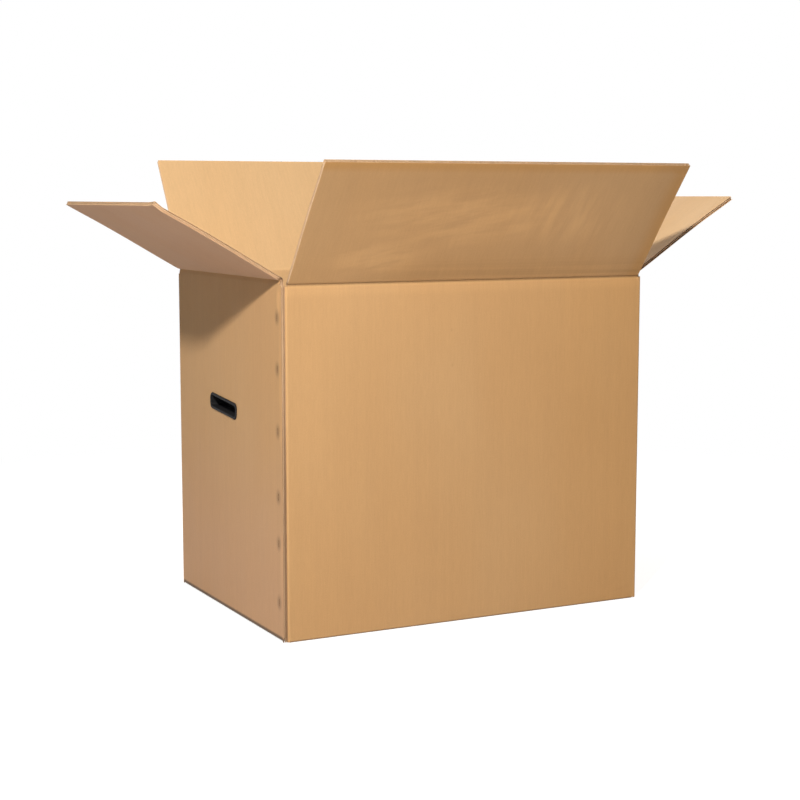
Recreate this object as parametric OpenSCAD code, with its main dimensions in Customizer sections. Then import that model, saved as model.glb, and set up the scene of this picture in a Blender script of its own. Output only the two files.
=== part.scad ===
// Open moving box of double-wall corrugated board, standing on its closed and taped bottom.
// X runs along the long walls, Y from the front to the rear and Z up.
// The origin is on the floor, under the middle of the box.

/* [Box] */
// Outside length of the box, along X
box_l = 700; // [500:1:1000]
// Outside width of the box, along Y
box_w = 490; // [400:1:700]
// Height of the long top creases above the floor
box_h = 590; // [480:1:800]

/* [Board] */
// Thickness of the double-wall board
board_t = 6.5; // [4:0.1:8]
// Outside radius of the folds
fold_r = 4; // [1:0.1:5]
// Room left between two layers of board that fold over each other
layer_gap = 0.5; // [0.2:0.1:1.5]

/* [Top flaps] */
// Lean of the front flap, outwards from upright
front_angle = 37.5; // [0:0.5:120]
// Lean of the rear flap, outwards from upright
rear_angle = 32; // [0:0.5:120]
// Lean of the left flap, outwards from upright
left_angle = 60.5; // [0:0.5:120]
// Lean of the right flap, outwards from upright
right_angle = 58; // [0:0.5:120]
// Opening between the long flaps when they are closed
flap_meet_gap = 2; // [0.5:0.5:10]
// Distance from the seam's fold to the ends of the front flaps
corner_slot = 4; // [3:0.5:8]
// Room between each flap and the walls beside it
flap_side_gap = 1; // [0.5:0.1:4]
// How far the corner slots are cut past the creases, into the walls
slot_depth = 1; // [0.5:0.1:5]
// Angle past 45 degrees that each crease is bevelled on the inside
crease_relief_angle = 1; // [0.5:0.1:3]

/* [Stapled seam] */
// Width of the tab that the front wall carries round the corner
tab_w = 40; // [32:1:60]
// How much narrower the tab's free edge is at each end
tab_taper = 12; // [0:1:20]
// Distance from the tab's ends to the closed flaps
tab_end_gap = 3; // [1:0.5:10]
// Gap between the tab and the left wall
seam_gap = 0.2; // [0.1:0.1:0.6]
// How far the left wall's raw edge stops behind the front face
raw_edge_back = 2; // [1:0.5:5]

/* [Staples] */
// Number of staples in the seam
staple_count = 6; // [3:1:8]
// Height of the lowest staple above the floor
staple_low = 65; // [50:1:100]
// Distance of the highest staple below the long top creases
staple_drop = 53; // [45:1:90]
// Distance from the raw edge to the staples
staple_in = 18; // [12:1:22]
// Outside length of a staple
staple_l = 13; // [10:0.5:16]
// Width of the flat staple wire
wire_w = 2; // [1.2:0.1:3]
// Thickness of the flat staple wire
wire_t = 0.6; // [0.4:0.1:0.9]
// Depth that a staple is pressed into the board
staple_sink = 0.4; // [0.1:0.1:0.4]
// Length of each clinched end, inside the box
clinch_l = 5; // [3:0.5:6]

/* [Hand holds] */
// Length over the rim of a hand hold
grip_l = 126; // [100:1:150]
// Height over the rim of a hand hold
grip_h = 29; // [26:0.5:60]
// Corner radius of the rim
grip_r = 10; // [8:0.5:12]
// Distance of the hand holds below the long top creases
grip_drop = 224; // [150:1:300]
// Distance of the hand holds behind the middle of the end walls
grip_back = 18; // [0:1:40]
// Slope of the hand holds, with the front end lower
grip_tilt = 4.3; // [0:0.1:8]
// Width of the rim that lies on the board
rim_w = 3; // [2:0.1:4]
// Thickness of the rim
rim_t = 2; // [1.5:0.1:3]
// Step round the outside of the rim
rim_step = 0.8; // [0.3:0.1:1]
// Wall of the moulded cup
cup_wall = 1.6; // [1:0.1:2.5]
// Depth of the cup behind the outside of the board
cup_depth = 30; // [20:1:50]
// Play between the cup and its hole in the board
cup_gap = 0.4; // [0.2:0.1:1]
// Height of the catches that hold the cup from inside
catch_h = 2; // [1.5:0.1:3]
// Length of each catch
catch_l = 16; // [8:1:25]
// Run of the ramp on each catch
catch_run = 6; // [4:0.5:10]
// Distance of the catches from the middle of the cup
catch_out = 34; // [20:1:38]

/* [Bottom tape] */
// Width of the tape over the bottom seam
tape_w = 48; // [36:1:75]
// Thickness of the tape, pressed level with the board
tape_t = 0.1; // [0.05:0.01:0.3]

/* [Hidden] */
$fn = 48;

// Overlap that lets a cut or a joined piece pass its neighbour's face
over = 1;
half_l = box_l / 2;
half_w = box_w / 2;

// Creases: the end flaps close over the long ones at the top and inside them at the bottom,
// so both their creases lie one board and a gap above those of the long flaps
layer = board_t + layer_gap;
end_crease_z = box_h + layer;
end_bottom_z = layer;
mitre_drop = board_t * tan(45 + crease_relief_angle);
flap_l = half_w - flap_meet_gap / 2;
slot_top_z = box_h - slot_depth;
slot_bottom_z = end_bottom_z + slot_depth;
end_half = half_w - board_t - flap_side_gap;
long_half = half_l - board_t - flap_side_gap;

// The front wall stops inside the left wall, where it folds to the tab
seam_fold_x = -half_l + board_t + seam_gap;
front_left_x = seam_fold_x + corner_slot;
tab_low_z = end_bottom_z + board_t + tab_end_gap;
tab_high_z = box_h - board_t - tab_end_gap;

// Staples: even steps, each shifted a little by hand
STAPLE_SHIFT = [0, 5, -12, 2, 10, 0];
staple_y = -half_w + raw_edge_back + staple_in;
staple_step = (box_h - staple_drop - staple_low) / (staple_count - 1);
crown_x = -half_l + staple_sink - wire_t;
clinch_x = seam_fold_x + board_t;

// Hand holds
grip_z = box_h - grip_drop;
catch_root = grip_h / 2 - rim_w - over;

board_tan = [0.78, 0.61, 0.42];
inner_tan = [0.84, 0.68, 0.49];

// What an outside corner at the origin loses when it is rounded, with the solid towards +x and +y
module corner_loss(r) {
    difference() {
        translate([-over, -over]) square(r + over);
        translate([r, r]) circle(r);
    }
}

// Stretches a section of inwards depth and height along X, about its middle
module along_x(length) {
    rotate([90, 0, 90]) linear_extrude(length, center = true) children();
}

// The same along Y
module along_y(length) {
    rotate([90, 0, 0]) linear_extrude(length, center = true) children();
}

// Section through a wall and the bottom flap that it carries
module panel_section(low, high) {
    difference() {
        union() {
            polygon([[0, low], [board_t, low], [board_t, high - mitre_drop], [0, high]]);
            translate([0, low]) square([flap_l, board_t]);
        }
        translate([0, low]) corner_loss(fold_r);
    }
}

// Section through a top flap whose crease is at the origin, leaning outwards
module flap_section(lean) {
    rotate(lean) polygon([[0, 0], [board_t, mitre_drop], [board_t, flap_l], [0, flap_l]]);
}

// What the inside bevel takes from the top of the front wall, as far as the end walls
module long_bevel() {
    translate([0, -half_w, box_h])
    along_x(2 * (half_l - board_t))
    polygon([[0, 0], [2 * board_t, -2 * mitre_drop], [2 * board_t, over], [0, over]]);
}

// The four walls between the corner slots: one strip of board, split at the stapled seam
module wall_ring() {
    difference() {
        translate([0, 0, slot_bottom_z])
        linear_extrude(slot_top_z - slot_bottom_z)
        difference() {
            square([box_l, box_w], center = true);
            square([box_l - 2 * board_t, box_w - 2 * board_t], center = true);
            translate([half_l, -half_w]) rotate(90) corner_loss(fold_r);
            translate([half_l, half_w]) rotate(180) corner_loss(fold_r);
            translate([-half_l, half_w]) rotate(-90) corner_loss(fold_r);
            translate([seam_fold_x, -half_w]) corner_loss(fold_r);
            translate([-half_l - over, -half_w - over]) square([board_t + over, raw_edge_back + over]);
            translate([-half_l + board_t, -half_w - over]) square([seam_gap, board_t + 2 * over]);
        }
        long_bevel();
        mirror([0, 1, 0]) long_bevel();
    }
}

// The tab on the front wall, inside the left wall, with tapered ends
module seam_tab() {
    free_y = -half_w + tab_w;
    root_y = -half_w + board_t;
    translate([seam_fold_x, 0, 0])
    rotate([90, 0, 90])
    linear_extrude(board_t)
    polygon([
        [root_y - over, tab_low_z], [root_y, tab_low_z], [free_y, tab_low_z + tab_taper],
        [free_y, tab_high_z - tab_taper], [root_y, tab_high_z], [root_y - over, tab_high_z]
    ]);
}

// Front wall and front bottom flap
module front_panel() {
    translate([(long_half + front_left_x) / 2, -half_w, 0])
    along_x(long_half - front_left_x)
    panel_section(0, box_h);
}

// Rear wall and rear bottom flap
module rear_panel() {
    mirror([0, 1, 0]) translate([0, -half_w, 0]) along_x(2 * long_half) panel_section(0, box_h);
}

// One end wall with its bottom flap, which lies on the long ones
module end_panel() {
    translate([-half_l, 0, 0]) along_y(2 * end_half) panel_section(end_bottom_z, end_crease_z);
}

// A rectangle with rounded corners, about the origin
module round_rect(length, height, r) {
    square([length - 2 * r, height], center = true);
    square([length, height - 2 * r], center = true);
    for (x = [-1, 1], y = [-1, 1])
        translate([x * (length / 2 - r), y * (height / 2 - r)]) circle(r);
}

// Carries a shape drawn in the YZ plane to the left hand hold, where local z points into the box
module at_grip() {
    translate([-half_l, grip_back, grip_z]) rotate([grip_tilt, 0, 0]) rotate([90, 0, 90]) children();
}

// A rounded slab of the hand hold, between two depths behind the outside of the board
module grip_slab(from, to, inset) {
    translate([0, 0, from])
    linear_extrude(to - from)
    round_rect(grip_l - 2 * inset, grip_h - 2 * inset, grip_r - inset);
}

// The hole that a hand hold fills
module grip_hole() {
    at_grip() grip_slab(-over, board_t + over, rim_w - cup_gap);
}

// The tape's own strip, which is also its seat in the board
module tape_strip() {
    translate([-long_half, -tape_w / 2, 0]) cube([2 * long_half, tape_w, tape_t]);
}

// Six flat-wire staples, each with a crown outside and its ends clinched inside
module staple_set() {
    for (i = [0 : staple_count - 1]) {
        shift = STAPLE_SHIFT[i % len(STAPLE_SHIFT)];
        translate([0, staple_y - wire_w / 2, staple_low + i * staple_step + shift]) {
            translate([crown_x, 0, -staple_l / 2]) cube([wire_t, wire_w, staple_l]);
            for (end = [0, 1]) mirror([0, 0, end]) {
                translate([crown_x, 0, staple_l / 2 - wire_t])
                    cube([clinch_x + wire_t - crown_x, wire_w, wire_t]);
                translate([clinch_x, 0, staple_l / 2 - clinch_l])
                    cube([wire_t, wire_w, clinch_l]);
            }
        }
    }
}

module carton() {
    color(board_tan)
    difference() {
        union() {
            wall_ring();
            seam_tab();
            front_panel();
            rear_panel();
            end_panel();
            mirror([1, 0, 0]) end_panel();
        }
        grip_hole();
        mirror([1, 0, 0]) grip_hole();
        staple_set();
        tape_strip();
    }
}

module front_flap() {
    color(board_tan)
    translate([(long_half + front_left_x) / 2, -half_w, box_h])
    along_x(long_half - front_left_x)
    flap_section(front_angle);
}

module rear_flap() {
    color(inner_tan)
    mirror([0, 1, 0])
    translate([0, -half_w, box_h])
    along_x(2 * long_half)
    flap_section(rear_angle);
}

// An end flap, on the left when drawn as it is
module end_flap(lean) {
    translate([-half_l, 0, end_crease_z]) along_y(2 * end_half) flap_section(lean);
}

module left_flap() {
    color(board_tan) end_flap(left_angle);
}

module right_flap() {
    color(inner_tan) mirror([1, 0, 0]) end_flap(right_angle);
}

module seam_staples() {
    color([0.45, 0.38, 0.3]) staple_set();
}

// A ramped catch on the cup, whose flat face lies on the inside of the board
module grip_catch(x, side) {
    mirror([0, side, 0])
    translate([x, catch_root, board_t])
    rotate([90, 0, 90])
    linear_extrude(catch_l, center = true)
    polygon([[0, 0], [catch_h + over, 0], [over, catch_run], [0, catch_run]]);
}

// A moulded hand hold: a stepped rim on the board, a closed cup behind it and four catches inside
module hand_hold() {
    at_grip()
    difference() {
        union() {
            grip_slab(-rim_t / 2, 0, 0);
            grip_slab(-rim_t, 0, rim_step);
            grip_slab(-rim_t, cup_depth, rim_w);
            for (side = [0, 1], x = [-catch_out, catch_out]) grip_catch(x, side);
        }
        grip_slab(-rim_t - over, cup_depth - cup_wall, rim_w + cup_wall);
    }
}

module left_handle() {
    color([0.09, 0.09, 0.1]) hand_hold();
}

module right_handle() {
    color([0.09, 0.09, 0.1]) mirror([1, 0, 0]) hand_hold();
}

module bottom_tape() {
    color([0.66, 0.49, 0.3]) tape_strip();
}

carton();
front_flap();
rear_flap();
left_flap();
right_flap();
seam_staples();
left_handle();
right_handle();
bottom_tape();
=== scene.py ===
import math

import bmesh
import bpy
from bpy.props import FloatProperty, FloatVectorProperty, PointerProperty
from mathutils import Matrix, Vector, noise


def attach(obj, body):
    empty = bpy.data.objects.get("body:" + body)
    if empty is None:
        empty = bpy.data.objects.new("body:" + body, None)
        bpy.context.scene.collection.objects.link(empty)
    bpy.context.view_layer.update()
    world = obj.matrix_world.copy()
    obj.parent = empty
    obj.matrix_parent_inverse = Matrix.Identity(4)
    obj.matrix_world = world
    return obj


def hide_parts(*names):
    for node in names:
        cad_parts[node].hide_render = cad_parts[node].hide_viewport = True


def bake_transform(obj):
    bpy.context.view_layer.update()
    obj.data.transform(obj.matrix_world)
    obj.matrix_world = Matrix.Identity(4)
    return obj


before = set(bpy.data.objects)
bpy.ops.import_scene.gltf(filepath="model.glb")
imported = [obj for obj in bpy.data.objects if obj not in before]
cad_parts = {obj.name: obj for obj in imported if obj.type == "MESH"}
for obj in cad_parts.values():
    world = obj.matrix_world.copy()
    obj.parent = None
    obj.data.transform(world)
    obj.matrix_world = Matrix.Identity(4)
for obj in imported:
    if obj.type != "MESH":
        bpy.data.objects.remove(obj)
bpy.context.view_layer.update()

bl_info = {
    "name": "Moving box",
    "version": (1, 0, 0),
    "blender": (4, 5, 0),
    "location": "View3D > Sidebar > Box",
    "description": "Open moving box of double-wall board with hinged flaps and moulded hand holds",
    "category": "Object",
}

# How the blank is cut, scored and stapled, in metres
SEAM_GAP = 0.0002
TAB_WIDTH = 0.040
TAB_LOW, TAB_HIGH, TAB_TAPER = 0.0165, 0.5805, 0.012
RAW_EDGE_BACK = 0.002
CORNER_FOOT = 0.0012
CORNER_SLOT = 0.004
FLAP_SIDE_GAP = 0.001
SLOT_DEPTH = 0.001
MEETING_GAP = 0.002
INNER_FILLET = 0.0012
FLUTE_THICKNESS = 0.00026
CREASE_REACH = 0.008
DIP_DEPTH = 0.0013
DIP_FLAP_REACH = 0.005
SAG = 0.0056
STAPLE_HEIGHTS = (0.065, 0.1644, 0.2418, 0.3502, 0.4526, 0.537)
STAPLE_Y = -0.225
GRIP_PLACE = (0.018, 0.366)
GRIP_HOLE = (0.1214, 0.0244, 0.0075)
GRIP_TILT = math.radians(4.3)
FLOOR_DROP = 0.0004


def length_value(name, description, default):
    return FloatProperty(name=name, description=description, default=default, unit="LENGTH")


def angle_value(name, description, degrees):
    return FloatProperty(name=name, description=description, default=math.radians(degrees), subtype="ANGLE")


def colour_value(name, description, default):
    return FloatVectorProperty(name=name, description=description, default=default, size=3, subtype="COLOR")


def place_value(name, description, default):
    return FloatVectorProperty(name=name, description=description, default=default, size=3,
                               subtype="TRANSLATION")


class BoardSettings(bpy.types.PropertyGroup):
    """Sizes and colours of the board"""

    length: length_value("Length", "Outside length of the box", 0.7)
    width: length_value("Width", "Outside width of the box", 0.49)
    height: length_value("Height", "Height of the long top creases", 0.59)
    thickness: length_value("Board", "Thickness of the double-wall board", 0.0065)
    layer_gap: length_value("Layer gap", "Room between two folded layers", 0.0005)
    fold_radius: length_value("Fold radius", "Outside radius of the folds", 0.004)
    liner: length_value("Liner", "Thickness of each of the three liners", 0.0004)
    outer_flute: length_value("Outer flute", "Pitch of the outer fluting", 0.0079)
    inner_flute: length_value("Inner flute", "Pitch of the inner fluting", 0.0063)
    middle: length_value("Middle liner", "Depth of the middle liner", 0.0035)
    front_lean: angle_value("Front flap lean", "Lean of the front flap, outwards from upright", 37.5)
    rear_lean: angle_value("Rear flap lean", "Lean of the rear flap, outwards from upright", 32)
    left_lean: angle_value("Left flap lean", "Lean of the left flap, outwards from upright", 60.5)
    right_lean: angle_value("Right flap lean", "Lean of the right flap, outwards from upright", 58)
    bulge: length_value("Bulge", "Unevenness of the walls", 0.0016)
    outer_colour: colour_value("Outer liner", "Colour of the outside of the board", (0.487, 0.287, 0.127))
    inner_colour: colour_value("Inner liner", "Colour of the inside of the board", (0.635, 0.417, 0.215))
    core_colour: colour_value("Fluting", "Colour of the fluting and the cut edges", (0.68, 0.48, 0.30))


class HandHoldSettings(bpy.types.PropertyGroup):
    """Sizes and colour of the hand holds"""

    length: length_value("Length", "Length over the rim", 0.126)
    height: length_value("Height", "Height over the rim", 0.029)
    corner: length_value("Corner", "Corner radius of the rim", 0.010)
    rim: length_value("Rim", "Width of the rim on the board", 0.003)
    proud: length_value("Rim thickness", "Thickness of the rim", 0.002)
    depth: length_value("Cup depth", "Depth of the cup", 0.030)
    wall: length_value("Cup wall", "Wall of the moulded cup", 0.0016)
    colour: colour_value("Plastic", "Colour of the moulded plastic", (0.006, 0.006, 0.007))


class TrimSettings(bpy.types.PropertyGroup):
    """Staples and tape"""

    staple_length: length_value("Staple", "Outside length of a staple", 0.013)
    wire_width: length_value("Wire width", "Width of the flat wire", 0.002)
    wire_thickness: length_value("Wire thickness", "Thickness of the flat wire", 0.0006)
    wire_colour: colour_value("Wire", "Colour of the staple wire", (0.28, 0.16, 0.085))
    tape_colour: colour_value("Tape", "Colour of the packing tape", (0.36, 0.20, 0.085))


class StudioSettings(bpy.types.PropertyGroup):
    """Camera and light"""

    camera_place: place_value("Camera", "Place of the camera", (-1.3976, -2.7046, 0.7323))
    camera_yaw: angle_value("Yaw", "Turn of the camera to the right of +Y", 27.15)
    camera_pitch: angle_value("Pitch", "Turn of the camera below the horizon", 7.002)
    lens: FloatProperty(name="Lens", description="Focal length in millimetres", default=74.74)
    key_place: place_value("Key light", "Place of the key light", (-1.600, -2.020, 1.965))
    key_power: FloatProperty(name="Key power", description="Power of the key light in watts", default=101)
    overhead_power: FloatProperty(
        name="Overhead power", description="Power of the soft overhead light in watts", default=10)
    back_power: FloatProperty(
        name="Back power", description="Power of the soft light behind the box in watts", default=62)
    fill: FloatProperty(name="Fill", description="Strength of the even light from all sides", default=0.105)
    floor_size: length_value("Floor", "Size of the floor", 9.0)


# Laying out the board


def board_settings():
    return bpy.context.scene.box_board


def half_board(board):
    return board.length / 2, board.width / 2


def layer(board):
    """How far the end flaps' creases lie above those of the long flaps, at the top and at the bottom."""
    return board.thickness + board.layer_gap


def long_reach(board):
    """Half the length of a long flap, which fits between the end walls."""
    return board.length / 2 - board.thickness - FLAP_SIDE_GAP


def end_reach(board):
    """Half the length of an end flap, which fits between the long walls."""
    return board.width / 2 - board.thickness - FLAP_SIDE_GAP


def smooth_ramp(t):
    t = min(max(t, 0.0), 1.0)
    return t * t * (3 - 2 * t)


def plan_corners(board):
    """The ring's outside corners in plan, from the tab's free edge to the left wall's raw edge."""
    half_l, half_w = half_board(board)
    fold_x = -half_l + board.thickness + SEAM_GAP
    return [
        Vector((fold_x, -half_w + TAB_WIDTH)),
        Vector((fold_x, -half_w)),
        Vector((half_l, -half_w)),
        Vector((half_l, half_w)),
        Vector((-half_l, half_w)),
        Vector((-half_l, -half_w + RAW_EDGE_BACK)),
    ]


def plan_starts(board):
    """Distance of each corner along the unfolded board."""
    corners = plan_corners(board)
    starts = [0.0]
    for a, b in zip(corners, corners[1:]):
        starts.append(starts[-1] + (b - a).length)
    return starts


def fold_corner(board, s, depth):
    """A point at distance s past a square fold, as distance along the first panel and depth from it."""
    r, t, fillet = board.fold_radius, board.thickness, INNER_FILLET
    reach = t + fillet

    def edge(limit, radius, inset):
        if s <= -limit:
            return Vector((s, inset))
        if s >= limit:
            return Vector((-inset, s))
        turn = math.radians(-90 + 90 * (s + limit) / (2 * limit))
        return Vector((-inset - radius + radius * math.cos(turn), inset + radius + radius * math.sin(turn)))

    return edge(r, r, 0.0).lerp(edge(reach, fillet, t), depth / t)


def crease_dip(s):
    """Depth of the scored valley along a top crease: s is below it when negative."""
    if s < 0:
        return DIP_DEPTH * max(0.0, 1 + s / CREASE_REACH) ** 2
    return DIP_DEPTH * max(0.0, 1 - s / DIP_FLAP_REACH) ** 2


def fold_top(board, s, depth, lean):
    """A point of a top flap or its wall, as depth from the wall's face and height over the crease."""
    turn_reach = 0.0025
    t = board.thickness
    turn = lean * smooth_ramp((s + turn_reach) / (2 * turn_reach))
    along = Vector((0.0, s)) if s < 0 else Vector((-math.sin(lean), math.cos(lean))) * s
    outer = along + Vector((math.cos(turn), math.sin(turn))) * crease_dip(s)
    stretch = CREASE_REACH / (CREASE_REACH - turn_reach)
    if abs(s) <= turn_reach:
        around = lean * (s + turn_reach) / (2 * turn_reach)
        inner = Vector((math.cos(around), math.sin(around))) * t
    elif s < 0:
        slid = s if s < -CREASE_REACH else (s + turn_reach) * stretch
        inner = Vector((t, slid))
    else:
        slid = s if s > CREASE_REACH else (s - turn_reach) * stretch
        inner = Vector((-math.sin(lean), math.cos(lean))) * slid
        inner = inner + Vector((math.cos(lean), math.sin(lean))) * t
    return outer.lerp(inner, depth / t)


def wall_unevenness(board, wall, u_low, u_high, u, v, top, bottom):
    """How far a wall stands inwards at a point of the unfolded board, nothing near its folds."""
    margin, ease = 0.008, 0.06
    sides = min(u - u_low, u_high - u)
    ends = min(top - v, v - bottom)
    mask = smooth_ramp((sides - margin) / ease) * smooth_ramp((ends - margin) / ease)
    if mask <= 0:
        return 0.0
    wave = noise.noise(Vector((u * 3.1, v * 3.1, wall * 7.3)))
    ripple = noise.noise(Vector((u * 9.0, v * 4.0, wall * 3.7 + 20)))
    size = board.bulge if wall in (1, 3) else board.bulge * 0.45
    return mask * size * (wave + 0.3 * ripple)


class Ring:
    """Folds the unfolded strip of four walls and a tab round the box."""

    def __init__(self, board):
        self.board = board
        self.corners = plan_corners(board)
        self.starts = plan_starts(board)
        self.reach = board.thickness + INNER_FILLET

    def directions(self, index):
        along = (self.corners[index + 1] - self.corners[index]).normalized()
        return along, Vector((-along.y, along.x))

    def wall_at(self, u):
        for index in range(len(self.starts) - 2):
            if u < self.starts[index + 1]:
                return index
        return len(self.starts) - 2

    def place(self, u, v, depth):
        board, starts = self.board, self.starts
        wall = self.wall_at(u)
        if wall == 0 and u < starts[1] - board.thickness:
            middle = (TAB_LOW + TAB_HIGH) / 2
            slope = TAB_TAPER / (TAB_WIDTH - board.thickness)
            narrowed = (starts[1] - board.thickness - u) * slope
            v = middle + (v - middle) * (1 - narrowed / (TAB_HIGH - middle))
        top, bottom = board.height, 0.0
        if wall in (2, 4):
            top, bottom = board.height + layer(board), layer(board)
        corner = None
        for index in range(1, len(starts) - 1):
            if abs(u - starts[index]) < self.reach:
                corner = index
        along, inwards = self.directions(wall)
        if corner is None:
            place = self.corners[wall] + along * (u - starts[wall]) + inwards * depth
        else:
            s = u - starts[corner]
            along, inwards = self.directions(corner - 1)
            local = fold_corner(board, s, depth)
            place = self.corners[corner] + along * local.x + inwards * local.y
        if wall and corner is None:
            place = place + inwards * wall_unevenness(
                board, wall, starts[wall], starts[wall + 1], u, v, top, bottom)
        if wall == 4:
            near_edge = smooth_ramp(1 - (starts[5] - u) / 0.03)
            near_edge *= smooth_ramp((top - v) / 0.05) * smooth_ramp(v / 0.05)
            ragged = noise.noise(Vector((v * 22.0, 3.0, 0.0))) * 0.0007 + 0.0004
            place = place + Vector((0.0, ragged * near_edge))
        if v <= layer(board) + SLOT_DEPTH + 1e-6 and self.at_corner(u):
            v = CORNER_FOOT
        return Vector((place.x, place.y, v))

    def at_corner(self, u):
        """Whether a point lies in the narrow strip between two bottom flaps."""
        starts, inset = self.starts, self.board.thickness + FLAP_SIDE_GAP
        if u > starts[5] - inset + RAW_EDGE_BACK or abs(u - starts[1]) < CORNER_SLOT - 0.0002:
            return True
        beside_corner = any(abs(u - start) < inset - 0.0002 for start in starts[2:5])
        return beside_corner or starts[1] - inset < u < starts[1]


def spread(low, high, step, close=()):
    """Grid lines from low to high, about step apart, with the distances in close kept from both ends."""
    lines = {round(low, 6), round(high, 6)}
    for gap in close:
        lines |= {round(low + gap, 6), round(high - gap, 6)}
    reach = max(close) if close else 0.0
    count = max(1, round((high - low - 2 * reach) / step))
    for i in range(count + 1):
        lines.add(round(low + reach + (high - low - 2 * reach) * i / count, 6))
    return sorted(lines)


def sheet_grid(mesh, us, vs, depth):
    """A flat grid of the unfolded board, with its lines at us and vs, at one depth."""
    columns, rows = len(us) - 1, len(vs) - 1
    made = bmesh.ops.create_grid(mesh, x_segments=columns, y_segments=rows, size=1.0)["verts"]
    for vert in made:
        column = round((vert.co.x + 1) / 2 * columns)
        row = round((vert.co.y + 1) / 2 * rows)
        vert.co = Vector((us[column], vs[row], depth))
    return made


def faces_of(verts):
    return list({face for vert in verts for face in vert.link_faces})


def parts_of(faces):
    verts = {vert for face in faces for vert in face.verts}
    edges = {edge for face in faces for edge in face.edges}
    return list(verts) + list(edges) + list(faces)


def cut_slot(mesh, faces, centre, length, height, corner, tilt):
    """Cuts a rounded slot in a flat sheet, and returns the faces that are left."""
    along = Vector((math.cos(tilt), math.sin(tilt), 0))
    across = Vector((-math.sin(tilt), math.cos(tilt), 0))
    middle = Vector((centre[0], centre[1], 0))
    window = Vector((length / 2 + 0.03, height / 2 + 0.03))

    def near(face):
        offset = face.calc_center_median() - middle
        return abs(offset.dot(along)) < window.x and abs(offset.dot(across)) < window.y

    planes = []
    for side in (-1, 1):
        planes.append((middle + across * (side * height / 2), across * side))
        planes.append((middle + along * (side * length / 2), along * side))
        for end in (-1, 1):
            hub = middle + along * (side * (length / 2 - corner)) + across * (end * (height / 2 - corner))
            for angle in (22.5, 45, 67.5):
                turn = math.radians(angle)
                out = along * (side * math.cos(turn)) + across * (end * math.sin(turn))
                planes.append((hub + out * corner, out))
    keep = [face for face in faces if not near(face)]
    local = [face for face in faces if near(face)]
    for point, out in planes:
        cut = bmesh.ops.bisect_plane(mesh, geom=parts_of(local), dist=1e-6, plane_co=point, plane_no=out)
        local = [item for item in cut["geom"] if isinstance(item, bmesh.types.BMFace)]
    inside = {face for face in local
              if all((face.calc_center_median() - point).xy.dot(out.xy) < 1e-5 for point, out in planes)}
    left = [face for face in local if face not in inside]
    bmesh.ops.delete(mesh, geom=list(inside), context="FACES")
    return keep + left


OUTER, INNER, CORE = 0, 1, 2


def add_liners(mesh, board, us, vs, kept=None, slots=()):
    """The three liners of one board, laid flat, with the finish of each face set."""
    t, liner, middle = board.thickness, board.liner, board.middle
    for low, high, side in ((0.0, liner, OUTER), (middle, middle + liner, CORE), (t - liner, t, INNER)):
        before = set(mesh.faces)
        made = sheet_grid(mesh, us, vs, low)
        faces = faces_of(made)
        if kept is not None:
            lost = {face for face in faces if not kept(*face.calc_center_median().xy)}
            faces = [face for face in faces if face not in lost]
            bmesh.ops.delete(mesh, geom=list(lost), context="FACES")
        for slot in slots:
            faces = cut_slot(mesh, faces, *slot)
        raised = bmesh.ops.extrude_face_region(mesh, geom=faces, use_keep_orig=True)["geom"]
        tops = [item for item in raised if isinstance(item, bmesh.types.BMFace)]
        bmesh.ops.translate(mesh, vec=(0, 0, high - low),
                            verts=[item for item in raised if isinstance(item, bmesh.types.BMVert)])
        for face in set(mesh.faces) - before:
            face.material_index = CORE
        for face in faces if side == OUTER else tops:
            face.material_index = side


def add_flutes(mesh, board, u_low, u_high, vs):
    """Both layers of fluting between the liners, over one stretch of the unfolded board."""
    medium = FLUTE_THICKNESS
    liner, t = board.liner, board.thickness
    layers = ((liner, board.middle, board.outer_flute), (board.middle + liner, t - liner, board.inner_flute))
    for low, high, pitch in layers:
        count = max(8, round((u_high - u_low) / pitch * 8))
        us = [u_low + (u_high - u_low) * i / count for i in range(count + 1)]
        made = sheet_grid(mesh, us, vs, 0.0)
        swing = (high - low - medium) / 2
        for vert in made:
            vert.co.z = (low + high) / 2 + swing * math.cos(2 * math.pi * vert.co.x / pitch)
        faces = faces_of(made)
        bmesh.ops.recalc_face_normals(mesh, faces=faces)
        before = set(mesh.faces)
        bmesh.ops.solidify(mesh, geom=faces, thickness=medium)
        for face in list(set(mesh.faces) - before) + faces:
            face.material_index = CORE


def finish_board(mesh, name, fold, marks, unfold=None):
    """Notes where each point lies on the unfolded board, folds it, and makes the object."""
    blank = mesh.verts.layers.float_vector.new("blank")
    # The first mark: wear and a painted highlight on the liners, painted shade on the fluting; the second:
    # the cut edges.
    wear_and_shade = mesh.verts.layers.float.new("wear_and_shade")
    cut = mesh.verts.layers.float.new("cut")
    for vert in mesh.verts:
        vert[blank] = vert.co if unfold is None else unfold(*vert.co)
        vert[wear_and_shade], vert[cut] = marks(*vert.co)
        vert.co = fold(*vert.co)
    bmesh.ops.recalc_face_normals(mesh, faces=mesh.faces)
    for face in mesh.faces:
        face.smooth = True
    piece = new_object(mesh, name)
    piece.data.set_sharp_from_angle(angle=math.radians(38))
    for finish in (outer_liner(), inner_liner(), cut_board()):
        piece.data.materials.append(finish)
    return piece


def new_object(mesh, name):
    data = bpy.data.meshes.new(name)
    mesh.to_mesh(data)
    mesh.free()
    piece = bpy.data.objects.new(name, data)
    bpy.context.scene.collection.objects.link(piece)
    return piece


def near(distance, reach):
    return math.exp(-(distance / reach) ** 2)


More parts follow.
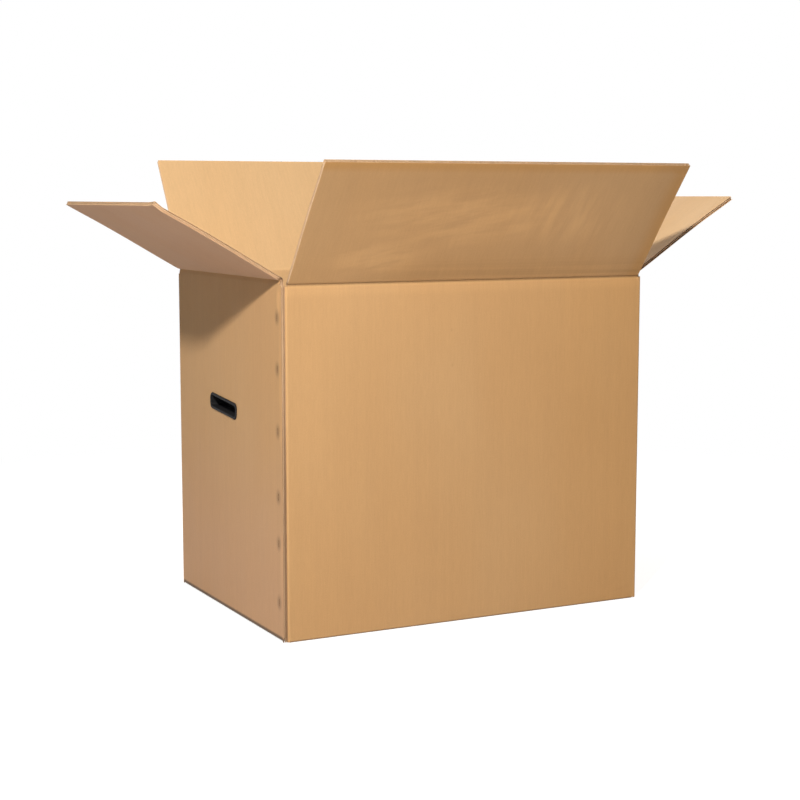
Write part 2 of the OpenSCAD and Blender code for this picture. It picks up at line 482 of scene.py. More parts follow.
def make_walls(board):
    """Four walls and the seam tab, one strip of board folded round the box."""
    ring = Ring(board)
    starts = ring.starts
    half_w = board.width / 2
    corner_steps = (0.0015, 0.003, 0.004, 0.0052, 0.0066, ring.reach)
    inset = board.thickness + FLAP_SIDE_GAP
    top_notches = [
        (starts[1] + CORNER_SLOT, starts[2] - inset),
        (starts[3] + inset, starts[4] - inset),
    ]
    bottom_notches = [
        (starts[2] + inset, starts[3] - inset),
        (starts[4] + inset, starts[4] + half_w + end_reach(board)),
    ]
    us = {0.0, round(starts[5], 6)}
    us |= {round(u, 6) for u in (0.0015, 0.005, 0.012, 0.022, starts[1] - board.thickness)}
    us |= {round(starts[5] - u, 6) for u in (0.0008, 0.0025, 0.012, 0.018, 0.026, 0.04)}
    for pair in top_notches + bottom_notches:
        us |= {round(u, 6) for u in pair}
    for index in range(1, 5):
        us |= {round(starts[index] + side * step, 6) for step in corner_steps for side in (-1, 1)}
        us.add(round(starts[index], 6))
        if index < 4:
            us |= set(spread(starts[index] + 0.016, starts[index + 1] - 0.016, 0.016))
    us |= set(spread(starts[4] + 0.016, starts[5] - 0.05, 0.016))
    top = board.height - SLOT_DEPTH
    bottom = layer(board) + SLOT_DEPTH
    notch_top = board.height - CREASE_REACH
    notch_bottom = layer(board) + CREASE_REACH
    vs = {round(v, 6) for v in (bottom, notch_bottom, TAB_LOW, TAB_HIGH, notch_top, top)}
    vs |= set(spread(0.024, 0.572, 0.017))
    tab_root = starts[1] - board.thickness

    def kept(u, v):
        if u < tab_root and not TAB_LOW < v < TAB_HIGH:
            return False
        if v > notch_top:
            return not any(low < u < high for low, high in top_notches)
        if v < notch_bottom:
            return not any(low < u < high for low, high in bottom_notches)
        return True

    grip_y, grip_z = GRIP_PLACE
    slots = [
        ((starts[2] + half_w + grip_y, grip_z), *GRIP_HOLE, GRIP_TILT),
        ((starts[4] + half_w - grip_y, grip_z), *GRIP_HOLE, -GRIP_TILT),
    ]
    mesh = bmesh.new()
    add_liners(mesh, board, sorted(us), sorted(vs), kept, slots)
    add_flutes(mesh, board, 0.0004, tab_root, [TAB_LOW + 0.0003, TAB_LOW + 0.02])
    add_flutes(mesh, board, 0.0004, tab_root, [TAB_HIGH - 0.02, TAB_HIGH - 0.0003])
    for index in range(1, 5):
        low, high = starts[index] - 0.008, starts[index] + 0.0075
        add_flutes(mesh, board, low, high, [top - 0.012, top - 0.0003])
        add_flutes(mesh, board, low, high, [bottom + 0.0003, bottom + 0.012])
    raw = starts[5]
    add_flutes(mesh, board, raw - 0.010, raw - 0.0006, spread(bottom + 0.0006, top - 0.0006, 0.017))

    def marks(u, v, depth):
        # First mark: at the raw edge, more so low down, and at the four folds it lightens the liner a little
        # (wear and painted highlight) and darkens the fluting (painted shade). Second mark: the cut edges.
        lower = 0.5 + 0.5 * smooth_ramp((0.45 - v) / 0.2)
        corner = max(near(raw - u, 0.0022) * lower, *(near(u - start, 0.0035) for start in starts[1:5]))
        edge = max(near(raw - u, 0.0018), near(u, 0.0018))
        return corner, edge

    walls = finish_board(mesh, "walls", ring.place, marks)
    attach(walls, "carton")
    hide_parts("carton")
    return walls


def flap_sheet(mesh, board, low, high, length, open_fold):
    """One flap with the strip of wall next to its crease, laid flat: u along the crease, v past it."""
    us = spread(low, high, 0.0155, (0.0008, 0.0025, 0.007))
    crease = [0.0, 0.0006, 0.0012, 0.0018, 0.0025, 0.0033, 0.004, 0.005, 0.006, 0.007, CREASE_REACH]
    vs = {round(side * step, 6) for step in crease for side in (-1, 1)}
    if not open_fold:
        vs |= {board.thickness + INNER_FILLET, -board.thickness - INNER_FILLET}
    vs |= {0.011, 0.016} | set(spread(0.022, length - 0.016, 0.0155)) | {
        round(length - gap, 6) for gap in (0, 0.0008, 0.0025, 0.007)}
    add_liners(mesh, board, us, sorted(vs))
    add_flutes(mesh, board, low + 0.0005, high - 0.0005, [length - 0.018, length - 0.0004])
    sides = sorted(v for v in vs if v <= length - 0.007) + [length - 0.0005]
    add_flutes(mesh, board, low + 0.0006, low + 0.0095, sides)
    add_flutes(mesh, board, high - 0.0095, high - 0.0006, sides)


def flap_warp(key, along, s, length):
    """How far a top flap stands inwards from its flat sheet, nothing at its crease and outer edge."""
    rise = smooth_ramp((s - CREASE_REACH) / 0.12) * smooth_ramp((length - s) / 0.09)
    wave = noise.noise(Vector((along * 3.3 + key * 11.0, s * 3.0, key * 5.1)))
    ripple = noise.noise(Vector((along * 10.0 + key * 3.0, s * 5.0, key * 2.3 + 9)))
    return rise * (0.0012 + 0.0014 * wave + 0.0005 * ripple)


def strip_middle(board, wall):
    """Distance along the unfolded board of a wall's point over the middle of the box."""
    corner = plan_corners(board)[wall]
    return plan_starts(board)[wall] + (abs(corner.x) if wall in (1, 3) else abs(corner.y))


def make_top_flap(board, name, body, wall, low, high, hinge, along, outwards, lean, crushed=None):
    """A top flap that bends out of its wall along a scored crease."""
    length = board.width / 2 - MEETING_GAP / 2
    middle = strip_middle(board, wall)
    up = Vector((0, 0, 1))
    tilt = math.cos(lean) * up + math.sin(lean) * outwards
    inner = -math.cos(lean) * outwards + math.sin(lean) * up

    def fold(u, v, depth):
        local = fold_top(board, v, depth, lean)
        place = hinge + along * u - outwards * local.x + up * local.y
        place = place + inner * flap_warp(wall, u, v, length)
        if crushed is not None:
            corner, reach, bend, shorter = crushed
            away = math.hypot(u - corner, (v - length))
            crush = smooth_ramp(1 - away / reach)
            sideways = math.copysign(shorter * 0.6, -corner)
            place = place + (inner * bend - tilt * shorter + along * sideways) * crush
        return place

    def marks(u, v, depth):
        # First mark, at the crease: the liner a little lighter (wear and painted highlight), the fluting
        # darker (painted shade).
        crease = near(v, 0.004)
        edge = max(near(u - low, 0.0018), near(high - u, 0.0018), near(length - v, 0.0018))
        return crease, edge

    def unfold(u, v, depth):
        return Vector((middle + u, hinge.z + v, depth))

    mesh = bmesh.new()
    flap_sheet(mesh, board, low, high, length, True)
    flap = finish_board(mesh, name, fold, marks, unfold)
    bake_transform(flap)
    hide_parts(body)
    return flap


def make_bottom_flap(board, name, wall, low, high, base, along, outwards, sag=0.0):
    """A closed bottom flap, folded square under its wall, whose fold may sag to the floor."""
    length = board.width / 2 - MEETING_GAP / 2
    middle = strip_middle(board, wall)
    up = Vector((0, 0, 1))

    def fold(u, v, depth):
        local = fold_corner(board, v, depth)
        drop = sag * smooth_ramp(1 - abs(v) / (board.thickness + FLAP_SIDE_GAP))
        drop *= 1 - depth / board.thickness
        return base + along * u - up * (local.x + drop) - outwards * local.y

    def marks(u, v, depth):
        # First mark, at the fold: the liner a little lighter (wear and painted highlight), the fluting darker
        # (painted shade).
        return near(v, 0.0035), max(near(u - low, 0.0018), near(high - u, 0.0018), near(length - v, 0.0018))

    def unfold(u, v, depth):
        return Vector((middle + u, base.z - v, depth))

    mesh = bmesh.new()
    flap_sheet(mesh, board, low, high, length, False)
    flap = finish_board(mesh, name, fold, marks, unfold)
    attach(flap, "carton")
    return flap


# Finishes


class Tree:
    """Short forms for building a material's nodes."""

    def __init__(self, name):
        self.material = bpy.data.materials.new(name)
        self.material.use_nodes = True
        self.nodes = self.material.node_tree.nodes
        self.links = self.material.node_tree.links
        self.shader = self.nodes["Principled BSDF"]

    def add(self, kind, **values):
        made = self.nodes.new(kind)
        for key, value in values.items():
            setattr(made, key, value)
        return made

    def feed(self, node, socket, value):
        if isinstance(value, bpy.types.NodeSocket):
            self.links.new(value, node.inputs[socket])
        else:
            node.inputs[socket].default_value = value

    def attribute(self, name):
        return self.add("ShaderNodeAttribute", attribute_name=name)

    def math(self, operation, a, b=0.0, clamp=False):
        made = self.add("ShaderNodeMath", operation=operation, use_clamp=clamp)
        self.feed(made, 0, a)
        self.feed(made, 1, b)
        return made.outputs[0]

    def total(self, *amounts):
        result = amounts[0]
        for amount in amounts[1:]:
            result = self.math("ADD", result, amount)
        return result

    def product(self, *factors):
        result = factors[0]
        for factor in factors[1:]:
            result = self.math("MULTIPLY", result, factor)
        return result

    def scaled(self, vector, scale):
        made = self.add("ShaderNodeVectorMath", operation="MULTIPLY")
        self.feed(made, 0, vector)
        self.feed(made, 1, scale)
        return made.outputs[0]

    def turned(self, vector, degrees):
        made = self.add("ShaderNodeVectorRotate", rotation_type="Z_AXIS")
        self.feed(made, "Vector", vector)
        self.feed(made, "Angle", math.radians(degrees))
        return made.outputs[0]

    def noise(self, vector, scale, detail=3.0, roughness=0.5):
        made = self.add("ShaderNodeTexNoise")
        self.feed(made, "Vector", vector)
        self.feed(made, "Scale", scale)
        self.feed(made, "Detail", detail)
        self.feed(made, "Roughness", roughness)
        return made.outputs["Fac"]

    def band(self, value, low, high, to_low=0.0, to_high=1.0):
        made = self.add("ShaderNodeMapRange", interpolation_type="SMOOTHSTEP")
        sockets = ("Value", "From Min", "From Max", "To Min", "To Max")
        for socket, number in zip(sockets, (value, low, high, to_low, to_high)):
            self.feed(made, socket, number)
        return made.outputs["Result"]

    def mix(self, amount, a, b, blend="MIX"):
        made = self.add("ShaderNodeMix", data_type="RGBA", blend_type=blend)
        self.feed(made, 0, amount)
        self.feed(made, 6, a)
        self.feed(made, 7, b)
        return made.outputs[2]

    def spot(self, place, centre, reach):
        """1 in the middle of an oval on the unfolded board, nothing outside it."""
        offset = self.add("ShaderNodeVectorMath", operation="SUBTRACT")
        self.feed(offset, 0, place)
        self.feed(offset, 1, (*centre, 0.0))
        distance = self.add("ShaderNodeVectorMath", operation="LENGTH")
        stretched = self.scaled(offset.outputs[0], (1 / reach[0], 1 / reach[1], 0.0))
        self.links.new(stretched, distance.inputs[0])
        return self.band(distance.outputs["Value"], 1.0, 0.2)

    def bump(self, height, distance, strength=1.0, normal=None):
        made = self.add("ShaderNodeBump")
        self.feed(made, "Height", height)
        self.feed(made, "Distance", distance)
        self.feed(made, "Strength", strength)
        if normal is not None:
            self.links.new(normal, made.inputs["Normal"])
        return made.outputs["Normal"]


def rgba(colour, factor=1.0):
    return (*(min(1.0, c * factor) for c in colour), 1.0)


def once(name, build):
    return bpy.data.materials.get(name) or build(name)


def front_flap_marks(tree, blank, across, height, streaks):
    """Tone and warmth outside on the front flap: the rubbing, a painted shade in streaks just above the
    crease, and the dark edges.
    """
    board = board_settings()
    crease, right = board.height, plan_starts(board)[2]
    on_flap = tree.product(tree.band(height, crease - 0.004, crease + 0.004),
                           tree.band(across, right + 0.067, right + 0.057))
    slanted = tree.noise(tree.scaled(tree.turned(blank, -82), (1.0, 6.0, 1.0)), 7.0, 2.0, 0.5)
    shade_streaks = tree.noise(tree.scaled(blank, (0.02, 1.0, 1.0)), 95.0, 2.0, 0.5)
    rubbed = tree.spot(blank, (0.31, crease + 0.135), (0.24, 0.085))
    wiped = tree.spot(blank, (0.52, crease + 0.14), (0.16, 0.09))
    patch = tree.spot(blank, (0.19, crease + 0.05), (0.12, 0.045))
    # Painted shade: a darker, slightly warmer band in streaks just above the crease, over all but the left
    # end of the flap.
    crease_shade_band = tree.product(tree.band(height, crease + 0.065, crease + 0.01), tree.band(across, 0.12, 0.30))
    tone = tree.total(
        tree.product(rubbed, tree.band(streaks, 0.33, 0.66, 0.03, 0.19)),
        tree.product(wiped, tree.band(slanted, 0.34, 0.66, 0.05, 0.19)),
        tree.product(patch, tree.band(streaks, 0.3, 0.6, 0.0, 0.16)),
        tree.product(crease_shade_band, tree.band(shade_streaks, 0.35, 0.65, -0.12, -0.02)),
        tree.band(across, 0.64, 0.72, 0.02, -0.10),
        tree.band(height, crease + 0.222, crease + 0.236, 0.0, -0.035))
    warmth = tree.total(
        0.22, tree.band(height, crease + 0.222, crease + 0.237), tree.band(across, 0.69, 0.722),
        tree.product(crease_shade_band, 0.3))
    return tree.product(on_flap, tone), tree.product(on_flap, warmth)


def wall_marks(tree, blank, across, height, streaks, patches):
    """Tone, warmth and a bluish tint outside on the walls: painted shade in the front crease and along the
    foot, a painted highlight below the crease, painted warm light on the front, painted floor light on the
    left, the seam, the staples, scuffs and nicks.
    """
    board = board_settings()
    crease = board.height
    right, rear, left, raw = plan_starts(board)[2:6]
    on_front = tree.band(across, right + 0.067, right + 0.057)
    on_left = tree.band(across, left, left + 0.003)
    on_right = tree.product(tree.band(across, right, right + 0.003), tree.band(across, rear, rear - 0.003))
    staple_u = left + board.width / 2 - STAPLE_Y

    # Painted shade: dark along the foot of the end walls, less along the long walls, and over the bottom
    # flaps' outsides, where the box meets the floor.
    painted_foot_shade = tree.total(
        tree.product(tree.total(on_right, on_left), tree.band(height, 0.0122, 0.0100)),
        tree.product(tree.band(height, 0.0035, 0.0), 0.6))
    # Painted shade: a dark line along the front wall's top crease, in the scored valley.
    painted_crease_shade = tree.product(tree.band(height, crease - 0.0028, crease - 0.0008),
                               tree.band(height, crease + 0.0022, crease + 0.0002))
    # Painted highlight: a lighter band just below the front crease, where the board rolls into it.
    painted_crease_highlight = tree.product(tree.band(height, crease - 0.025, crease - 0.010),
                                tree.band(height, crease - 0.002, crease - 0.004))
    scuff = tree.product(tree.spot(blank, (0.695, 0.03), (0.035, 0.02)), tree.band(streaks, 0.4, 0.6))
    frayed = tree.product(tree.band(across, raw - 0.0158, raw - 0.0063), tree.band(patches, 0.38, 0.6))
    torn_top = tree.spot(blank, (raw - 0.0113, 0.565), (0.011, 0.028))
    torn = tree.product(torn_top, tree.band(patches, 0.35, 0.5))
    # Darker spots round the staples: stain from the wire, with the painted shade of dents that the board does
    # not have.
    staple_stain_and_shade = tree.total(*(tree.spot(blank, (staple_u, v), (0.0130, 0.0175)) for v in STAPLE_HEIGHTS))
    nick_places = ((0.345, 0.507), (0.347, 0.447))
    nicks = tree.total(*(tree.spot(blank, place, (0.0035, 0.005)) for place in nick_places))
    # Painted light: a lighter, bluish tint that grows towards the bottom of the left wall and covers the left
    # flap's outside, standing for light thrown up from the floor.
    painted_floor_light = tree.product(on_left, tree.total(
        tree.band(height, 0.42, 0.05, 0.0, 0.8), tree.band(height, crease + 0.007, crease + 0.010)))
    tone = tree.total(
        tree.product(scuff, -0.05), tree.product(torn, 0.26), tree.product(frayed, 0.10),
        tree.product(nicks, -0.07), tree.product(staple_stain_and_shade, -0.34), tree.product(painted_foot_shade, -0.80),
        tree.product(on_front, painted_crease_shade, -0.38), tree.product(on_front, painted_crease_highlight, 0.06),
        tree.product(painted_floor_light, 0.04))
    # Painted light: warmer colour towards the right of the front wall, below the crease, standing for the
    # weaker, warmer light there.
    warmth = tree.product(
        tree.band(across, right + 0.0007, right - 0.0023), tree.band(height, crease, crease - 0.004),
        tree.band(across, 0.38, 0.74, 0.0, 0.5))
    return tone, warmth, painted_floor_light


def kraft(name, colour, handled):
    """A kraft liner: fibres, specks, cloudy tone, the faint lines of the fluting, and folds lighter with wear
    and a painted highlight.
    """
    tree = Tree(name)
    board = board_settings()
    blank = tree.attribute("blank").outputs["Vector"]
    wear_and_shade = tree.attribute("wear_and_shade").outputs["Fac"]
    cut = tree.attribute("cut").outputs["Fac"]
    split = tree.add("ShaderNodeSeparateXYZ")
    tree.links.new(blank, split.inputs[0])
    across, height = split.outputs["X"], split.outputs["Y"]

    cloud = tree.noise(tree.scaled(blank, (1.0, 0.6, 1.0)), 3.2, 2.0)
    patches = tree.noise(tree.scaled(blank, (1.0, 0.5, 1.0)), 14.0, 3.0, 0.5)
    fibres = tree.noise(tree.scaled(blank, (1.0, 0.28, 1.0)), 1300.0, 4.0, 0.65)
    long_fibres = tree.noise(tree.scaled(blank, (1.0, 0.08, 1.0)), 420.0, 3.0, 0.6)
    lines = tree.noise(tree.scaled(blank, (1.0, 0.03, 1.0)), 70.0, 3.0, 0.6)
    specks = tree.noise(blank, 900.0, 2.0, 0.5)
    wobble = tree.product(tree.noise(blank, 9.0, 2.0), 0.006)
    ridges = tree.math("SINE", tree.product(tree.total(across, wobble), 2 * math.pi / board.outer_flute))

    # Beside folds and the raw edge the liner is lighter, wear with a painted highlight; near cut edges it is
    # lighter still.
    tone = tree.total(
        tree.band(cloud, 0.3, 0.7, 0.985, 1.015), tree.band(patches, 0.3, 0.7, -0.010, 0.010),
        tree.band(lines, 0.3, 0.7, -0.014, 0.014), tree.product(ridges, 0.003),
        tree.band(fibres, 0.25, 0.75, -0.05, 0.05), tree.band(long_fibres, 0.3, 0.7, -0.022, 0.022),
        tree.product(wear_and_shade, 0.05), tree.product(cut, 0.10))
    red, green, blue = colour
    base = tree.mix(tree.band(cloud, 0.35, 0.65), rgba((red, green * 0.985, blue * 0.965)),
                    rgba((red * 0.99, green * 1.005, blue * 1.03)))
    if handled:
        streaks = tree.noise(tree.scaled(tree.turned(blank, -12), (1.0, 5.0, 1.0)), 9.0, 3.0, 0.55)
        flap_tone, flap_warmth = front_flap_marks(tree, blank, across, height, streaks)
        wall_tone, painted_warm_light, painted_floor_light = wall_marks(tree, blank, across, height, streaks, patches)
        tone = tree.total(tone, flap_tone, wall_tone)
        # Warmth of the front flap, with the painted warm light on the right of the front wall.
        warmth = tree.math("MULTIPLY", tree.total(flap_warmth, painted_warm_light), 0.8, clamp=True)
        base = tree.mix(warmth, base, rgba((red, green * 0.90, blue * 0.68)))
        # Painted light: the bluish tint of the floor's light on the lower left wall and the left flap.
        base = tree.mix(painted_floor_light, base, rgba((red, green * 0.99, blue * 1.22)))
    grey = tree.add("ShaderNodeCombineXYZ")
    for socket in range(3):
        tree.links.new(tone, grey.inputs[socket])
    shaded = tree.mix(1.0, base, grey.outputs[0], "MULTIPLY")
    shaded = tree.mix(tree.product(tree.band(specks, 0.69, 0.75), 0.35), shaded, rgba(colour, 0.5))
    shaded = tree.mix(tree.product(tree.band(specks, 0.31, 0.25), 0.25), shaded, rgba(colour, 1.3))
    tree.feed(tree.shader, "Base Color", shaded)
    tree.feed(tree.shader, "Roughness", tree.band(patches, 0.3, 0.7, 0.72, 0.82))
    tree.shader.inputs["Specular IOR Level"].default_value = 0.28
    tree.shader.inputs["Sheen Weight"].default_value = 0.05
    tree.shader.inputs["Sheen Roughness"].default_value = 0.5
    normal = tree.bump(ridges, 0.00003, 0.35)
    normal = tree.bump(tree.total(fibres, long_fibres), 0.00005, 0.5, normal)
    tree.links.new(normal, tree.shader.inputs["Normal"])
    return tree.material


def outer_liner():
    return once("outer_liner", lambda name: kraft(name, board_settings().outer_colour, True))


def inner_liner():
    return once("inner_liner", lambda name: kraft(name, board_settings().inner_colour, False))


def cut_board():
    """Fluting and cut edges: raw, fuzzy paper."""
    def build(name):
        tree = Tree(name)
        colour = board_settings().core_colour
        blank = tree.attribute("blank").outputs["Vector"]
        fuzz = tree.noise(blank, 1500.0, 4.0, 0.7)
        patches = tree.noise(blank, 60.0, 3.0)
        base = tree.mix(tree.band(fuzz, 0.3, 0.7), rgba(colour, 0.85), rgba(colour, 1.12))
        base = tree.mix(tree.band(patches, 0.35, 0.7, 0.0, 0.3), base, rgba(colour, 1.2))
        # Painted shade: the fluting and cut edges darken towards a deep brown at the seam's raw edge, more so
        # low down, and beside the folds and creases.
        shade = tree.math("MULTIPLY", tree.attribute("wear_and_shade").outputs["Fac"], 0.85)
        base = tree.mix(shade, base, rgba((colour[0] * 0.42, colour[1] * 0.34, colour[2] * 0.30)))
        tree.feed(tree.shader, "Base Color", base)
        tree.feed(tree.shader, "Roughness", tree.band(fuzz, 0.3, 0.7, 0.8, 0.95))
        tree.shader.inputs["Specular IOR Level"].default_value = 0.2
        tree.links.new(tree.bump(fuzz, 0.0002, 0.8), tree.shader.inputs["Normal"])
        return tree.material
    return once("cut_board", build)


def black_plastic():
    """Moulded black plastic with a fine grain and rubbed high spots."""
    def build(name):
        tree = Tree(name)
        colour = bpy.context.scene.box_hand_holds.colour
        place = tree.add("ShaderNodeTexCoord").outputs["Object"]
        grain = tree.noise(place, 2600.0, 2.0)
        smears = tree.noise(place, 70.0, 4.0, 0.6)
        base = tree.mix(tree.band(smears, 0.4, 0.75), rgba(colour), rgba(colour, 1.8))
        tree.feed(tree.shader, "Base Color", base)
        tree.feed(tree.shader, "Roughness", tree.band(smears, 0.3, 0.7, 0.58, 0.72))
        tree.shader.inputs["Specular IOR Level"].default_value = 0.16
        tree.links.new(tree.bump(grain, 0.0001, 0.35), tree.shader.inputs["Normal"])
        return tree.material
    return once("black_plastic", build)


def staple_wire():
    """Coppered steel wire, dulled and scratched along its length."""
    def build(name):
        tree = Tree(name)
        colour = bpy.context.scene.box_trim.wire_colour
        place = tree.add("ShaderNodeTexCoord").outputs["Object"]
        scratches = tree.noise(tree.scaled(place, (1.0, 1.0, 0.06)), 3500.0, 3.0, 0.6)
        dull = tree.noise(place, 420.0, 3.0)
        base = tree.mix(tree.band(dull, 0.35, 0.65), rgba(colour, 0.7), rgba(colour, 1.3))
        tree.feed(tree.shader, "Base Color", base)
        tree.feed(tree.shader, "Roughness", tree.band(scratches, 0.3, 0.7, 0.6, 0.8))
        tree.shader.inputs["Metallic"].default_value = 0.9
        tree.shader.inputs["Specular IOR Level"].default_value = 0.1
        tree.links.new(tree.bump(scratches, 0.00005, 0.5), tree.shader.inputs["Normal"])
        return tree.material
    return once("coppered_wire", build)


def packing_tape():
    """Brown tape pressed on board: glossy, with the board's texture and trapped air showing through."""
    def build(name):
        tree = Tree(name)
        colour = bpy.context.scene.box_trim.tape_colour
        place = tree.add("ShaderNodeTexCoord").outputs["Object"]
        air = tree.noise(tree.scaled(place, (1.0, 2.5, 1.0)), 55.0, 4.0, 0.6)
        ripples = tree.noise(tree.scaled(place, (6.0, 0.4, 1.0)), 60.0, 2.0)
        base = tree.mix(tree.band(air, 0.45, 0.7), rgba(colour), rgba(colour, 1.35))
        tree.feed(tree.shader, "Base Color", base)
        tree.feed(tree.shader, "Roughness", tree.band(air, 0.3, 0.7, 0.16, 0.34))
        tree.shader.inputs["Coat Weight"].default_value = 0.4
        tree.shader.inputs["Coat Roughness"].default_value = 0.12
        tree.links.new(tree.bump(ripples, 0.0003, 0.3), tree.shader.inputs["Normal"])
        return tree.material
    return once("brown_tape", build)


def seen_directly(nodes, links):
    """1 for camera, glossy and transmission rays, which see the white background."""
    ray = nodes.new("ShaderNodeLightPath")
    seen = ray.outputs["Is Camera Ray"]
    for kind in ("Is Glossy Ray", "Is Transmission Ray"):
        either = nodes.new("ShaderNodeMath")
        either.operation = "MAXIMUM"
        links.new(seen, either.inputs[0])
        links.new(ray.outputs[kind], either.inputs[1])
        seen = either.outputs[0]
    return seen


def studio_floor():
    """White floor: the camera sees white with the box's shadow on it."""
    def build(name):
        tree = Tree(name)
        tree.shader.inputs["Base Color"].default_value = (0.70, 0.73, 0.82, 1.0)
        tree.shader.inputs["Roughness"].default_value = 0.9
        tree.shader.inputs["Specular IOR Level"].default_value = 0.0
        place = tree.add("ShaderNodeTexCoord").outputs["Object"]
        distance = tree.add("ShaderNodeVectorMath", operation="LENGTH")
        tree.links.new(place, distance.inputs[0])
        shadow = tree.add("ShaderNodeBsdfDiffuse")
        shadow.inputs["Color"].default_value = (0.50, 0.50, 0.50, 1.0)
        white = tree.add("ShaderNodeEmission")
        white.inputs["Strength"].default_value = 0.78
        soft = tree.add("ShaderNodeAddShader")
        tree.links.new(shadow.outputs[0], soft.inputs[0])
        tree.links.new(white.outputs[0], soft.inputs[1])
        plain = tree.add("ShaderNodeEmission")
        fade = tree.add("ShaderNodeMixShader")
        tree.feed(fade, 0, tree.band(distance.outputs["Value"], 0.9, 1.9))
        tree.links.new(soft.outputs[0], fade.inputs[1])
        tree.links.new(plain.outputs[0], fade.inputs[2])
        choose = tree.add("ShaderNodeMixShader")
        tree.feed(choose, 0, seen_directly(tree.nodes, tree.links))
        tree.links.new(tree.shader.outputs[0], choose.inputs[1])
        tree.links.new(fade.outputs[0], choose.inputs[2])
        tree.links.new(choose.outputs[0], tree.nodes["Material Output"].inputs["Surface"])
        return tree.material
    return once("studio_floor", build)


# Pieces


class BOX_OT_walls(bpy.types.Operator):
    """Make the four walls and the stapled seam's tab"""

    bl_idname = "box.walls"
    bl_label = "Walls"

    def execute(self, context):
        make_walls(board_settings())
        return {"FINISHED"}


class BOX_OT_bottom(bpy.types.Operator):
    """Make the four closed bottom flaps"""

    bl_idname = "box.bottom"
    bl_label = "Bottom flaps"

    def execute(self, context):
        board = board_settings()
        half_l, half_w = half_board(board)
        long_half, end_half = long_reach(board), end_reach(board)
        front_left = plan_corners(board)[1].x + CORNER_SLOT
        x, y, inner = Vector((1, 0, 0)), Vector((0, 1, 0)), layer(board)
        make_bottom_flap(board, "bottom_front", 1, front_left, long_half, Vector((0, -half_w, 0)), x, -y)
        make_bottom_flap(board, "bottom_rear", 3, -long_half, long_half, Vector((0, half_w, 0)), -x, y)
        make_bottom_flap(board, "bottom_left", 4, -end_half, end_half,
                         Vector((-half_l, 0, inner)), -y, -x, SAG)
        make_bottom_flap(board, "bottom_right", 2, -end_half, end_half, Vector((half_l, 0, inner)), y, x, SAG)
        return {"FINISHED"}


class BOX_OT_top_flaps(bpy.types.Operator):
    """Make the four hinged top flaps"""

    bl_idname = "box.top_flaps"
    bl_label = "Top flaps"

    def execute(self, context):
        board = board_settings()
        half_l, half_w = half_board(board)
        long_half, end_half = long_reach(board), end_reach(board)
        front_left = plan_corners(board)[1].x + CORNER_SLOT
        x, y = Vector((1, 0, 0)), Vector((0, 1, 0))
        end_height = board.height + layer(board)
        make_top_flap(board, "top_front", "front_flap", 1, front_left, long_half,
                      Vector((0, -half_w, board.height)), x, -y, board.front_lean)
        make_top_flap(board, "top_rear", "rear_flap", 3, -long_half, long_half,
                      Vector((0, half_w, board.height)), -x, y, board.rear_lean)
        make_top_flap(board, "top_left", "left_flap", 4, -end_half, end_half,
                      Vector((-half_l, 0, end_height)), -y, -x, board.left_lean,
                      crushed=(end_half, 0.016, 0.0025, 0.0014))
        make_top_flap(board, "top_right", "right_flap", 2, -end_half, end_half,
                      Vector((half_l, 0, end_height)), y, x, board.right_lean)
        return {"FINISHED"}


def rounded_face(mesh, length, height, corner):
    """A flat face with rounded corners, about the origin."""
    made = bmesh.ops.create_grid(mesh, x_segments=1, y_segments=1, size=0.5)["verts"]
    bmesh.ops.scale(mesh, vec=(length, height, 1), verts=made)
    bmesh.ops.bevel(mesh, geom=list(mesh.verts), offset=corner, offset_type="OFFSET", segments=8, profile=0.5,
                    affect="VERTICES", material=-1)
    return mesh.faces[:][0]


def push(mesh, face, depth):
    """Extrudes one face along the hand hold's depth and returns the moved face."""
    made = bmesh.ops.extrude_discrete_faces(mesh, faces=[face])["faces"][0]
    bmesh.ops.translate(mesh, vec=(0, 0, depth), verts=made.verts)
    return made


def narrow(mesh, face, width):
    """Insets one face and returns it."""
    bmesh.ops.inset_region(mesh, faces=[face], thickness=width, use_even_offset=True)
    return face


